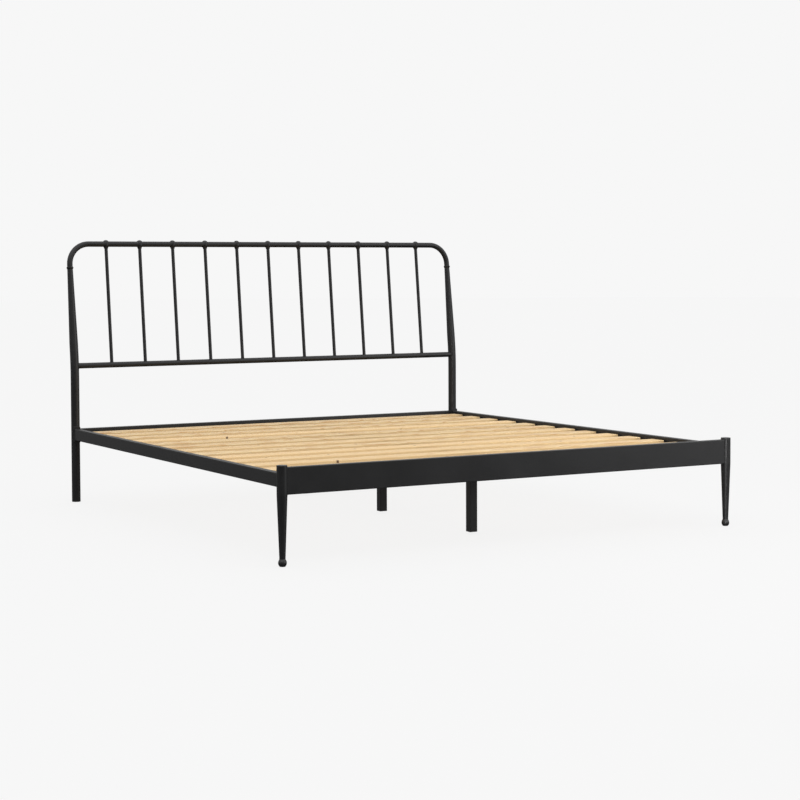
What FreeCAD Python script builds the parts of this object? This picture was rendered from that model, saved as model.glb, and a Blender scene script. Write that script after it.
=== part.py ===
import FreeCAD, Part
import math
import os
import Sketcher
from FreeCAD import Placement, Rotation, Vector

# Metal bed frame for a king mattress: raked spindle headboard, low foot rail on tapered legs,
# steel side rails, centre rail on three legs, and a deck of pine slats.
# Frame: +Z up from the floor, +Y towards the headboard, +X to the right seen from the foot end.
# The origin is on the floor under the middle of the bed. All sizes are in millimetres.

DIMENSIONS = {
    "leg_spacing": (1970, "between the left and right leg axes"),
    "foot_axis_y": (-1065.5, "foot leg axes"),
    "head_axis_y": (1009.5, "head post axes at the floor"),
    "leg_diameter": (38, "round tube of legs and posts"),
    "tube_wall": (1.5, "wall of every steel tube"),
    "foot_leg_top": (353, "top of the caps above the floor"),
    "foot_leg_taper_top": (250, "where the taper of the foot legs begins"),
    "foot_leg_tip_diameter": (22, "foot leg where it meets its glide"),
    "cap_thickness": (2.5, "visible rim of a foot leg cap"),
    "cap_edge": (1.5, "rounded edge of a foot leg cap"),
    "plug_depth": (12, "how far a cap or glide reaches into its tube"),
    "plug_clearance": (0.2, "between a plug and the tube around it"),
    "plug_wall": (2, "wall of the hollow plugs on caps and glides"),
    "plug_web": (1, "solid web inside the rim of a cap or glide"),
    "foot_glide_height": (27, "ball glide under a foot leg"),
    "foot_glide_diameter": (30.5, "ball glide at its widest"),
    "foot_glide_base_diameter": (19, "flat under the ball glide"),
    "foot_glide_waist": (13, "height of the widest ring of the ball"),
    "foot_glide_shoulder": (24, "height of the ball's upper edge"),
    "foot_glide_lip": (1, "ball's upper edge beyond the leg's tip"),
    "foot_glide_lower_radius": (17.6, "profile radius under the waist"),
    "foot_glide_upper_radius": (20.2, "profile radius over the waist"),
    "head_glide_thickness": (3, "plastic disc under a head post"),
    "glide_edge": (1, "rounded lower edge of discs and leveller pads"),
    "rail_width": (25, "rectangular tubes of the rails"),
    "rail_corner": (2.5, "outer corner radius of the rectangular tubes"),
    "rail_inner_corner": (1, "inner corner radius of the rectangular tubes"),
    "foot_rail_height": (96, "rectangular tube at the foot end"),
    "foot_rail_bottom": (250, "above the floor"),
    "side_rail_height": (50, "rectangular tube at the sides and the head end"),
    "side_rail_bottom": (276, "above the floor"),
    "rake_angle": (6.3, "how far the headboard leans back, in degrees"),
    "knee_height": (606, "where the lean begins, above the floor"),
    "knee_radius": (1000, "centre line radius of the post at the knee"),
    "post_taper_start": (100, "along the raked post from the knee"),
    "joint_along": (440, "along the raked post from the knee to the collar"),
    "head_tube_diameter": (25, "headboard tubes"),
    "head_top_along": (546, "along the rake from the knee to the top tube"),
    "head_bend_radius": (92, "centre line radius of the top corners"),
    "spindle_count": (11, "upright rods of the headboard"),
    "spindle_pitch": (162, "between spindles"),
    "spindle_diameter": (15, "round tube"),
    "spindle_wall": (1.2, "round tube"),
    "spindle_gap": (13, "from the top tube's axis down to a spindle's end"),
    "ball_diameter": (31, "ball connector around the top tube"),
    "ball_land": (3, "half height of the straight band round the ball's waist"),
    "ball_neck_radius": (9.2, "ball connector at its lower end"),
    "ball_neck_drop": (20, "from the ball's centre to its lower end"),
    "ball_neck_angle": (50, "below the waist, where the neck leaves the ball, in degrees"),
    "collar_radius": (15.5, "ring between the post and the top tube"),
    "collar_rise": (2.5, "above the widest line of the collar"),
    "collar_drop": (8, "below the widest line of the collar"),
    "collar_land": (1.2, "half height of the collar's rim"),
    "collar_lip": (0.2, "collar's lower edge beyond the tube"),
    "collar_bevel": (1.3, "from the collar's rim in to its upper edge"),
    "collar_spigot_up": (9, "into the top tube"),
    "collar_spigot_down": (30, "into the post"),
    "spigot_reach": (55, "from the leg's surface into the side rail"),
    "spigot_wall": (3, "steel of the rail spigots"),
    "spigot_clearance": (0.3, "between a spigot and the rail around it"),
    "saddle_width": (28, "plate between a head post and the side rail"),
    "saddle_height": (70, "plate between a head post and the side rail"),
    "saddle_thickness": (5, "in front of the post"),
    "overshoot": (1, "how far a cut passes through the material"),
    "screw_radius": (3, "M6 thread"),
    "screw_length": (12, "M6 button head screw under its head"),
    "screw_head_radius": (5.25, "M6 button head"),
    "screw_head_height": (3.3, "M6 button head"),
    "screw_head_rim": (0.5, "straight rim of the button head"),
    "screw_head_dome": (8.3, "profile radius of the button head"),
    "screw_head_flat": (0.6, "flat ring around the socket"),
    "screw_chamfer": (0.6, "end of the M6 thread"),
    "screw_socket": (4, "hexagon across flats"),
    "screw_socket_depth": (2, "hexagon socket"),
    "screw_hole_radius": (3.25, "clearance hole for M6"),
    "rail_screw_first": (18, "from the rail's end to the first screw"),
    "rail_screw_pitch": (25, "between the two screws of a rail joint"),
    "rail_screw_rise": (10, "above the side rail's middle"),
    "platform_middle_y": (-28, "middle of the deck"),
    "ledge_top": (296, "underside of the slats above the floor"),
    "ledge_width": (30, "angle that carries the slat ends"),
    "ledge_drop": (20, "leg of the angle on the rail's face"),
    "ledge_thickness": (3, "steel angle"),
    "ledge_length": (1990, "steel angle"),
    "slat_count": (13, "pine slats"),
    "slat_pitch": (157.7, "between slats"),
    "slat_width": (80, "pine slat"),
    "slat_thickness": (18, "pine slat"),
    "slat_length": (1928, "pine slat"),
    "slat_corner": (4, "rounded long edges of a slat"),
    "slat_pilot_spare": (0.5, "pilot hole beyond the point of its screw"),
    "slat_screw_inset": (14, "from the rail's inner face to a slat screw"),
    "slat_screw_radius": (2, "wood screw"),
    "slat_screw_length": (15, "wood screw under its head"),
    "slat_screw_head": (4, "radius of the wood screw's head"),
    "slat_screw_head_height": (2.4, "wood screw"),
    "slat_screw_head_edge": (1.5, "rounded edge of the wood screw's head"),
    "slat_screw_point": (3, "tapered point of the wood screw"),
    "centre_rail_width": (30, "tube under the middle of the slats"),
    "centre_rail_height": (40, "tube under the middle of the slats"),
    "centre_rail_length": (2043, "between the end brackets"),
    "bracket_wall": (3, "cradle at each end of the centre rail"),
    "bracket_clearance": (0.3, "between a cradle and the centre rail"),
    "bracket_length": (45, "cradle at each end of the centre rail"),
    "bracket_height": (37, "inside of the cradle"),
    "bracket_screw_y": (30, "from the cradle's back face"),
    "centre_leg_size": (33, "square tube"),
    "centre_leg_pitch": (710, "between centre legs"),
    "centre_leg_middle_y": (-21, "the middle one of the three legs"),
    "centre_leg_bottom": (8.5, "underside of the leg's plug above the floor"),
    "flange_length": (70, "plate on top of a centre leg"),
    "flange_thickness": (3, "plate on top of a centre leg"),
    "flange_screw_y": (25, "from the leg's axis to each flange screw"),
    "plug_flange": (3.5, "visible rim of a centre leg's plug"),
    "plug_height": (27.5, "whole plug of a centre leg"),
    "plug_recess_radius": (11.4, "pocket that the leveller's pad screws up into"),
    "plug_recess_depth": (5.4, "pocket that the leveller's pad screws up into"),
    "leveller_pad_radius": (11, "screw foot of a centre leg"),
    "leveller_pad_height": (5, "screw foot of a centre leg"),
    "leveller_stem_radius": (4, "M8 stem"),
    "leveller_stem_top": (50, "from the pad's underside"),
    "leveller_chamfer": (1, "end of the M8 stem"),
    "leveller_bore_radius": (4.06, "threaded bore of the plug"),
}

SIDES = (("left", -1), ("right", 1))

doc = FreeCAD.newDocument("bed_frame")
sheet = doc.addObject("Spreadsheet::Sheet", "dims")
for row, (alias, (number, note)) in enumerate(DIMENSIONS.items(), start=1):
    sheet.set(f"A{row}", alias)
    sheet.set(f"B{row}", str(number))
    sheet.set(f"C{row}", note)
    sheet.setAlias(f"B{row}", alias)
doc.recompute()

nodes = []


def value(expression):
    """The number that an expression on the sheet gives now."""
    return float(sheet.evalExpression(expression))


def bind(item, expressions):
    for path, expression in expressions.items():
        item.setExpression(path, expression)


def keep(item, label):
    """Marks an object as one of the sub-parts that are written out."""
    item.Label = label
    nodes.append(item)
    return item


# Placement ---------------------------------------------------------------------------------

RAKE_SIN = "sin(dims.rake_angle * 1 deg)"
RAKE_COS = "cos(dims.rake_angle * 1 deg)"
RAKE_AXIS = Vector(-1, 0, 0)
RAIL_MIDDLE_Z = "dims.side_rail_bottom + dims.side_rail_height / 2"


def place(item, x="0", y="0", z="0", rotation=None):
    item.Placement = Placement(Vector(), rotation or Rotation())
    bind(item, {"Placement.Base.x": x, "Placement.Base.y": y, "Placement.Base.z": z})
    return item


def place_raked(item, across, along):
    """Sets an object on the leaning plane of the headboard, its own Z along the rake."""
    place(
        item,
        across,
        f"dims.head_axis_y + ({along}) * {RAKE_SIN}",
        f"dims.knee_height + ({along}) * {RAKE_COS}",
        Rotation(RAKE_AXIS, value("dims.rake_angle")),
    )
    item.setExpression("Placement.Rotation.Angle", "dims.rake_angle")
    return item


def leg_x(sign):
    return f"{sign} * dims.leg_spacing / 2"


# Sketches ----------------------------------------------------------------------------------

def new_body(name):
    return doc.addObject("PartDesign::Body", name)


def sketch_on(body, name, role):
    sketch = body.newObject("Sketcher::SketchObject", name)
    plane = next(feature for feature in body.Origin.OriginFeatures if feature.Role == role)
    sketch.AttachmentSupport = [(plane, "")]
    sketch.MapMode = "FlatFace"
    return sketch


def name_constraint(sketch, constraint, name, expression):
    index = sketch.addConstraint(constraint)
    sketch.renameConstraint(index, name)
    sketch.setExpression("Constraints." + name, expression)


def pin(sketch, geometry, vertex, name, x, y):
    """Fixes a vertex at two expressions, measured from the sketch's origin."""
    for kind, axis, letter, expression in (("DistanceX", -2, "x", x), ("DistanceY", -1, "y", y)):
        if expression == "0":
            sketch.addConstraint(Sketcher.Constraint("PointOnObject", geometry, vertex, axis))
        else:
            distance = Sketcher.Constraint(kind, -1, 1, geometry, vertex, value(expression))
            name_constraint(sketch, distance, name + letter, expression)


def add_circle(sketch, name, radius, x="0", y="0"):
    centre = Vector(value(x), value(y), 0)
    index = sketch.addGeometry(Part.Circle(centre, Vector(0, 0, 1), value(radius)))
    pin(sketch, index, 3, name, x, y)
    name_constraint(sketch, Sketcher.Constraint("Radius", index, value(radius)), name + "r", radius)


def arc_between(start, end, radius):
    """The short arc from start to end that bulges to the right of the way there."""
    chord = end - start
    right = Vector(chord.y, -chord.x, 0).normalize()
    rise = radius - math.sqrt(radius ** 2 - (chord.Length / 2) ** 2)
    return Part.Arc(start, (start + end) / 2 + right * rise, end)


def add_outline(sketch, name, points, closed=True):
    """Lines through points given as (x, y), or (x, y, radius) where an arc leads on to the next."""
    corners = [Vector(value(point[0]), value(point[1]), 0) for point in points]
    count = len(points) if closed else len(points) - 1
    starts = []
    for step in range(count):
        point, start, end = points[step], corners[step], corners[(step + 1) % len(points)]
        curved = len(point) == 3
        curve = arc_between(start, end, value(point[2])) if curved else Part.LineSegment(start, end)
        index = sketch.addGeometry(curve)
        forward = (sketch.getPoint(index, 1) - start).Length < (sketch.getPoint(index, 2) - start).Length
        starts.append((index, 1, 2) if forward else (index, 2, 1))
        pin(sketch, index, starts[-1][1], f"{name}{step}", point[0], point[1])
        if curved:
            radius = Sketcher.Constraint("Radius", index, value(point[2]))
            name_constraint(sketch, radius, f"{name}{step}r", point[2])
    for step in range(count if closed else count - 1):
        (first, _, end), (second, begin, _) = starts[step], starts[(step + 1) % count]
        sketch.addConstraint(Sketcher.Constraint("Coincident", first, end, second, begin))
    if not closed:
        pin(sketch, starts[-1][0], starts[-1][2], f"{name}end", points[-1][0], points[-1][1])


def add_rounded_rectangle(sketch, name, width, height, radius, bottom=None):
    """A rectangle centred on the origin, or standing on the height given as bottom."""
    low = bottom or f"-({height}) / 2"
    high = f"{low} + ({height})"
    left, right = f"-({width}) / 2", f"({width}) / 2"
    add_outline(sketch, name, [
        (f"{left} + ({radius})", low),
        (f"{right} - ({radius})", low, radius),
        (right, f"{low} + ({radius})"),
        (right, f"{high} - ({radius})", radius),
        (f"{right} - ({radius})", high),
        (f"{left} + ({radius})", high, radius),
        (left, f"{high} - ({radius})"),
        (left, f"{low} + ({radius})", radius),
    ])


# Features ----------------------------------------------------------------------------------

def pad(body, sketch, name, length, symmetric=False, flipped=False):
    feature = body.newObject("PartDesign::Pad", name)
    feature.Profile = sketch
    feature.SideType = "Symmetric" if symmetric else "One side"
    feature.Reversed = flipped
    feature.setExpression("Length", length)
    doc.recompute()
    return feature


def pocket(body, sketch, name, length=None, flipped=False):
    """Cuts a sketch out to a length, or right through both ways, and checks that it did cut."""
    before = body.Shape.Volume
    feature = body.newObject("PartDesign::Pocket", name)
    feature.Profile = sketch
    feature.Reversed = flipped
    if length is None:
        feature.SideType = "Symmetric"
        feature.Type = "ThroughAll"
    else:
        feature.setExpression("Length", length)
    doc.recompute()
    if body.Shape.Volume >= before:
        raise RuntimeError(f"{name} in {body.Name} cuts nothing")
    return feature


def revolve(body, sketch, name):
    """Turns a sketch on the XZ plane once round the body's Z axis."""
    feature = body.newObject("PartDesign::Revolution", name)
    feature.Profile = sketch
    feature.ReferenceAxis = (sketch, ["V_Axis"])
    feature.Angle = 360
    doc.recompute()
    return feature


def turned_body(name, points):
    body = new_body(name)
    sketch = sketch_on(body, name + "_profile", "XZ_Plane")
    add_outline(sketch, "p", points)
    revolve(body, sketch, name + "_turning")
    return body


def rectangular_tube(name, role, width, height, wall, length, symmetric=True, flipped=False):
    """A Body with a hollow rounded rectangle on one origin plane, drawn out along its normal."""
    body = new_body(name)
    sketch = sketch_on(body, name + "_section", role)
    add_rounded_rectangle(sketch, "o", width, height, "dims.rail_corner")
    inside = (f"{width} - 2 * {wall}", f"{height} - 2 * {wall}")
    add_rounded_rectangle(sketch, "i", *inside, "dims.rail_inner_corner")
    pad(body, sketch, name + "_tube", length, symmetric, flipped)
    return body


def cope(body, centres):
    """Notches a tube's ends so that they fit round the upright legs."""
    sketch = sketch_on(body, body.Name + "_cope_profile", "XY_Plane")
    for number, (x, y) in enumerate(centres):
        add_circle(sketch, f"c{number}", "dims.leg_diameter / 2", x, y)
    pocket(body, sketch, body.Name + "_cope")


def linked_group(label, master, placements):
    """One sub-part made of identical separate solids: links to a master, placed and compounded."""
    links = []
    for number, (x, y, z, rotation) in enumerate(placements, start=1):
        link = doc.addObject("App::Link", f"{label}_{number}")
        link.LinkedObject = master
        links.append(place(link, x, y, z, rotation))
    group = doc.addObject("Part::Compound", label)
    group.Links = links
    return keep(group, label)


# Headboard ---------------------------------------------------------------------------------

def post_solid(name, sign, shrink):
    """A post's outside, or its inside with shrink as the wall: upright, knee, rake and taper."""
    radius = f"dims.leg_diameter / 2 - {shrink}"
    knee_reach = "dims.knee_radius * tan(dims.rake_angle / 2 * 1 deg)"
    lower = doc.addObject("Part::Cylinder", name + "_lower")
    bind(lower, {
        "Radius": radius,
        "Height": f"dims.knee_height - {knee_reach} - dims.head_glide_thickness",
    })
    place(lower, leg_x(sign), "dims.head_axis_y", "dims.head_glide_thickness")

    knee = doc.addObject("Part::Torus", name + "_knee")
    bind(knee, {"Radius1": "dims.knee_radius", "Radius2": radius, "Angle3": "dims.rake_angle"})
    turned_up = Rotation(Vector(0, -1, 0), Vector(0, 0, 1), Vector(-1, 0, 0), "XYZ")
    place(
        knee, leg_x(sign), "dims.head_axis_y + dims.knee_radius",
        f"dims.knee_height - {knee_reach}", turned_up,
    )

    raked = doc.addObject("Part::Cylinder", name + "_raked")
    bind(raked, {"Radius": radius, "Height": f"dims.post_taper_start - {knee_reach}"})
    place_raked(raked, leg_x(sign), knee_reach)

    taper = doc.addObject("Part::Cone", name + "_taper")
    bind(taper, {
        "Radius1": radius,
        "Radius2": f"dims.head_tube_diameter / 2 - {shrink}",
        "Height": "dims.joint_along - dims.collar_drop - dims.post_taper_start",
    })
    place_raked(taper, leg_x(sign), "dims.post_taper_start")

    joined = doc.addObject("Part::MultiFuse", name)
    joined.Shapes = [lower, knee, raked, taper]
    return joined


def head_posts():
    outsides = []
    for side, sign in SIDES:
        outside = post_solid(f"post_{side}_outside", sign, "0")
        post = doc.addObject("Part::Cut", f"post_{side}")
        post.Base = outside
        post.Tool = post_solid(f"post_{side}_inside", sign, "dims.tube_wall")
        keep(post, f"head_post_{side}")
        outsides.append(outside)
    return outsides


def head_collars():
    bore = "dims.head_tube_diameter / 2 - 2 * dims.tube_wall"
    fit = "dims.head_tube_diameter / 2 - dims.tube_wall"
    for side, sign in SIDES:
        collar = turned_body(f"collar_{side}", [
            (bore, "-dims.collar_drop - dims.collar_spigot_down"),
            (fit, "-dims.collar_drop - dims.collar_spigot_down"),
            (fit, "-dims.collar_drop"),
            ("dims.head_tube_diameter / 2 + dims.collar_lip", "-dims.collar_drop"),
            ("dims.collar_radius", "-dims.collar_land"),
            ("dims.collar_radius", "dims.collar_land"),
            ("dims.collar_radius - dims.collar_bevel", "dims.collar_rise"),
            (fit, "dims.collar_rise"),
            (fit, "dims.collar_rise + dims.collar_spigot_up"),
            (bore, "dims.collar_rise + dims.collar_spigot_up"),
        ])
        keep(place_raked(collar, leg_x(sign), "dims.joint_along"), f"head_collar_{side}")


def head_top_tube():
    """The bent tube over the headboard: its sketch plane is the raked plane, from the collars up."""
    body = new_body("top_tube")
    radius = "dims.head_bend_radius"
    rise = "dims.head_top_along - dims.joint_along - dims.collar_rise"
    path = sketch_on(body, "top_tube_path", "XZ_Plane")
    add_outline(path, "p", [
        ("dims.leg_spacing / 2", "0"),
        ("dims.leg_spacing / 2", f"{rise} - {radius}", radius),
        (f"dims.leg_spacing / 2 - {radius}", rise),
        (f"-dims.leg_spacing / 2 + {radius}", rise, radius),
        ("-dims.leg_spacing / 2", f"{rise} - {radius}"),
        ("-dims.leg_spacing / 2", "0"),
    ], closed=False)
    for name, kind, wall in (
        ("top_tube_outside", "PartDesign::AdditivePipe", "0"),
        ("top_tube_inside", "PartDesign::SubtractivePipe", "dims.tube_wall"),
    ):
        section = sketch_on(body, name + "_section", "XY_Plane")
        add_circle(section, "c", f"dims.head_tube_diameter / 2 - {wall}", "dims.leg_spacing / 2")
        doc.recompute()
        pipe = body.newObject(kind, name)
        pipe.Profile = section
        pipe.Spine = (path, [])
        doc.recompute()
    keep(place_raked(body, "0", "dims.joint_along + dims.collar_rise"), "head_top_tube")


def head_lower_tube(posts):
    """The straight tube between the posts that the spindles stand on."""
    shells = []
    for name, wall in (("lower_tube_outside", "0"), ("lower_tube_inside", "dims.tube_wall")):
        shell = doc.addObject("Part::Cylinder", name)
        bind(shell, {"Radius": f"dims.head_tube_diameter / 2 - {wall}", "Height": "dims.leg_spacing"})
        place(shell, leg_x(-1), "dims.head_axis_y", "dims.knee_height", Rotation(Vector(0, 1, 0), 90))
        shells.append(shell)
    tube = doc.addObject("Part::Cut", "lower_tube")
    tube.Base, tube.Tool = shells
    for post in posts:
        fitted = doc.addObject("Part::Cut", tube.Name + "_coped")
        fitted.Base = tube
        fitted.Tool = post
        tube = fitted
    keep(tube, "head_lower_tube")


def spindle_x(number):
    return f"({number} - (dims.spindle_count - 1) / 2) * dims.spindle_pitch"


def spindles():
    for number in range(int(value("dims.spindle_count"))):
        name = f"spindle_{number + 1:02d}"
        body = new_body(name + "_body")
        section = sketch_on(body, name + "_section", "XY_Plane")
        add_circle(section, "o", "dims.spindle_diameter / 2")
        add_circle(section, "i", "dims.spindle_diameter / 2 - dims.spindle_wall")
        pad(body, section, name + "_tube", "dims.head_top_along - dims.spindle_gap")
        mouth = sketch_on(body, name + "_mouth_profile", "YZ_Plane")
        add_circle(mouth, "m", "dims.head_tube_diameter / 2")
        pocket(body, mouth, name + "_mouth")
        keep(place_raked(body, spindle_x(number), "0"), name)


def ball_connectors():
    """Balls threaded on the top tube, each with a neck that holds a spindle's upper end."""
    radius = "dims.ball_diameter / 2"
    master = turned_body("ball", [
        ("0", "-dims.ball_neck_drop"),
        ("dims.ball_neck_radius", "-dims.ball_neck_drop"),
        (
            f"{radius} * cos(dims.ball_neck_angle * 1 deg)",
            f"-dims.ball_land - {radius} * sin(dims.ball_neck_angle * 1 deg)",
            radius,
        ),
        (radius, "-dims.ball_land"),
        (radius, "dims.ball_land", radius),
        ("0", f"dims.ball_land + {radius}"),
    ])
    bore = sketch_on(master, "ball_bore_profile", "YZ_Plane")
    add_circle(bore, "b", "dims.head_tube_diameter / 2")
    pocket(master, bore, "ball_bore")
    socket = sketch_on(master, "ball_socket_profile", "XY_Plane")
    add_circle(socket, "s", "dims.spindle_diameter / 2")
    pocket(master, socket, "ball_socket", "dims.ball_neck_drop + dims.overshoot")
    along = "dims.head_top_along"
    leaning = Rotation(RAKE_AXIS, value("dims.rake_angle"))
    group = linked_group("ball_connectors", master, [
        (
            spindle_x(number),
            f"dims.head_axis_y + {along} * {RAKE_SIN}",
            f"dims.knee_height + {along} * {RAKE_COS}",
            leaning,
        )
        for number in range(int(value("dims.spindle_count")))
    ])
    for link in group.Links:
        link.setExpression("Placement.Rotation.Angle", "dims.rake_angle")


def head_rail():
    body = rectangular_tube(
        "cross_rail", "YZ_Plane", "dims.rail_width", "dims.side_rail_height", "dims.tube_wall",
        "dims.leg_spacing",
    )
    cope(body, [(leg_x(-1), "0"), (leg_x(1), "0")])
    keep(place(body, "0", "dims.head_axis_y", RAIL_MIDDLE_Z), "head_rail")


def head_glides():
    inside = "dims.leg_diameter / 2 - dims.tube_wall - dims.plug_clearance"
    thickness = "dims.head_glide_thickness"
    for side, sign in SIDES:
        glide = turned_body(f"head_glide_{side}_body", [
            ("0", "0"),
            ("dims.leg_diameter / 2 - dims.glide_edge", "0", "dims.glide_edge"),
            ("dims.leg_diameter / 2", "dims.glide_edge"),
            ("dims.leg_diameter / 2", thickness),
            (inside, thickness),
            (inside, f"{thickness} + dims.plug_depth"),
            (f"{inside} - dims.plug_wall", f"{thickness} + dims.plug_depth"),
            (f"{inside} - dims.plug_wall", f"{thickness} + dims.plug_web"),
            ("0", f"{thickness} + dims.plug_web"),
        ])
        keep(place(glide, leg_x(sign), "dims.head_axis_y"), f"head_glide_{side}")


# Foot end ----------------------------------------------------------------------------------

def foot_rail():
    body = rectangular_tube(
        "foot_tube", "YZ_Plane", "dims.rail_width", "dims.foot_rail_height", "dims.tube_wall",
        "dims.leg_spacing",
    )
    cope(body, [(leg_x(-1), "0"), (leg_x(1), "0")])
    middle = "dims.foot_rail_bottom + dims.foot_rail_height / 2"
    keep(place(body, "0", "dims.foot_axis_y", middle), "foot_rail")


def foot_legs():
    outer, tip = "dims.leg_diameter / 2", "dims.foot_leg_tip_diameter / 2"
    rim = "dims.foot_leg_top - dims.cap_thickness"
    for side, sign in SIDES:
        leg = turned_body(f"leg_{side}", [
            (f"{tip} - dims.tube_wall", "dims.foot_glide_height"),
            (tip, "dims.foot_glide_height"),
            (outer, "dims.foot_leg_taper_top"),
            (outer, rim),
            (f"{outer} - dims.tube_wall", rim),
            (f"{outer} - dims.tube_wall", "dims.foot_leg_taper_top"),
        ])
        keep(place(leg, leg_x(sign), "dims.foot_axis_y"), f"foot_leg_{side}")


def foot_leg_caps():
    outer = "dims.leg_diameter / 2"
    inside = f"{outer} - dims.tube_wall - dims.plug_clearance"
    for side, sign in SIDES:
        cap = turned_body(f"cap_{side}", [
            (f"{inside} - dims.plug_wall", "-dims.plug_depth"),
            (inside, "-dims.plug_depth"),
            (inside, "0"),
            (outer, "0"),
            (outer, "dims.cap_thickness - dims.cap_edge", "dims.cap_edge"),
            (f"{outer} - dims.cap_edge", "dims.cap_thickness"),
            ("0", "dims.cap_thickness"),
            ("0", "-dims.plug_web"),
            (f"{inside} - dims.plug_wall", "-dims.plug_web"),
        ])
        rim = "dims.foot_leg_top - dims.cap_thickness"
        keep(place(cap, leg_x(sign), "dims.foot_axis_y", rim), f"foot_leg_cap_{side}")


def foot_glides():
    """Ball glides that plug into the tips of the foot legs."""
    top, tip = "dims.foot_glide_height", "dims.foot_leg_tip_diameter / 2"
    stem = f"{tip} - dims.tube_wall - dims.plug_clearance"
    upper = "dims.foot_leg_tip_diameter / 2 + dims.foot_glide_lip"
    for side, sign in SIDES:
        glide = turned_body(f"ball_foot_{side}", [
            ("0", "0"),
            ("dims.foot_glide_base_diameter / 2", "0", "dims.foot_glide_lower_radius"),
            ("dims.foot_glide_diameter / 2", "dims.foot_glide_waist", "dims.foot_glide_upper_radius"),
            (upper, "dims.foot_glide_shoulder"),
            (tip, top),
            (stem, top),
            (stem, f"{top} + dims.plug_depth"),
            ("0", f"{top} + dims.plug_depth"),
        ])
        keep(place(glide, leg_x(sign), "dims.foot_axis_y"), f"foot_glide_{side}")


# Side rails and their joints ---------------------------------------------------------------

SIDE_RAIL_END = "dims.leg_diameter / 2 + dims.saddle_thickness"
SIDE_RAIL_LENGTH = f"dims.head_axis_y - dims.foot_axis_y - ({SIDE_RAIL_END})"
FOOT_END_SCREWS = "dims.leg_diameter / 2 + dims.rail_screw_first"
HEAD_END_SCREWS = f"{SIDE_RAIL_END} + dims.rail_screw_first"


def screw_distances(first):
    return (first, f"{first} + dims.rail_screw_pitch")


def side_rails():
    """Each rail starts on a foot leg's axis, where it is coped, and ends square at the head."""
    reach = "dims.rail_width / 2 + dims.overshoot"
    for side, sign in SIDES:
        body = rectangular_tube(
            f"long_rail_{side}", "XZ_Plane", "dims.rail_width", "dims.side_rail_height",
            "dims.tube_wall", SIDE_RAIL_LENGTH, symmetric=False, flipped=True,
        )
        cope(body, [("0", "0")])
        holes = sketch_on(body, f"long_rail_{side}_holes_profile", "YZ_Plane")
        span = "dims.head_axis_y - dims.foot_axis_y"
        distances = screw_distances(FOOT_END_SCREWS)
        distances += tuple(f"{span} - ({y})" for y in screw_distances(HEAD_END_SCREWS))
        for number, distance in enumerate(distances):
            add_circle(holes, f"h{number}", "dims.screw_hole_radius", distance, "dims.rail_screw_rise")
        pocket(body, holes, f"long_rail_{side}_holes", reach, flipped=sign < 0)
        keep(place(body, leg_x(sign), "dims.foot_axis_y", RAIL_MIDDLE_Z), f"side_rail_{side}")


def rail_spigots():
    """Stubs welded to the legs and posts, which the ends of the side rails slide over."""
    width = "dims.rail_width - 2 * (dims.tube_wall + dims.spigot_clearance)"
    height = "dims.side_rail_height - 2 * (dims.tube_wall + dims.spigot_clearance)"
    for end in ("foot", "head"):
        at_head = end == "head"
        base = SIDE_RAIL_END if at_head else "dims.leg_diameter / 2"
        for side, sign in SIDES:
            name = f"rail_spigot_{end}_{side}"
            body = rectangular_tube(
                name + "_body", "XZ_Plane", width, height, "dims.spigot_wall",
                f"{base} + dims.spigot_reach", symmetric=False, flipped=not at_head,
            )
            if at_head:
                plate = sketch_on(body, name + "_saddle_profile", "XZ_Plane")
                size = ("dims.saddle_width", "dims.saddle_height")
                add_rounded_rectangle(plate, "s", *size, "dims.rail_corner")
                pad(body, plate, name + "_saddle", SIDE_RAIL_END)
            cope(body, [("0", "0")])
            threads = sketch_on(body, name + "_threads_profile", "YZ_Plane")
            first = HEAD_END_SCREWS if at_head else FOOT_END_SCREWS
            for number, distance in enumerate(screw_distances(first)):
                along = f"-({distance})" if at_head else distance
                add_circle(threads, f"t{number}", "dims.screw_radius", along, "dims.rail_screw_rise")
            pocket(body, threads, name + "_threads", "dims.rail_width / 2", flipped=sign < 0)
            keep(place(body, leg_x(sign), f"dims.{end}_axis_y", RAIL_MIDDLE_Z), name)


# Slat deck ---------------------------------------------------------------------------------

LEDGE_X = "dims.leg_spacing / 2 - dims.rail_width / 2"
SLAT_SCREW_X = f"{LEDGE_X} - dims.slat_screw_inset"
HALF_TURN = Rotation(Vector(0, 0, 1), 180)
HEAD_DOWN = Rotation(Vector(1, 0, 0), 180)


def slat_y(number):
    return f"dims.platform_middle_y + ({number} - (dims.slat_count - 1) / 2) * dims.slat_pitch"


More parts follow.
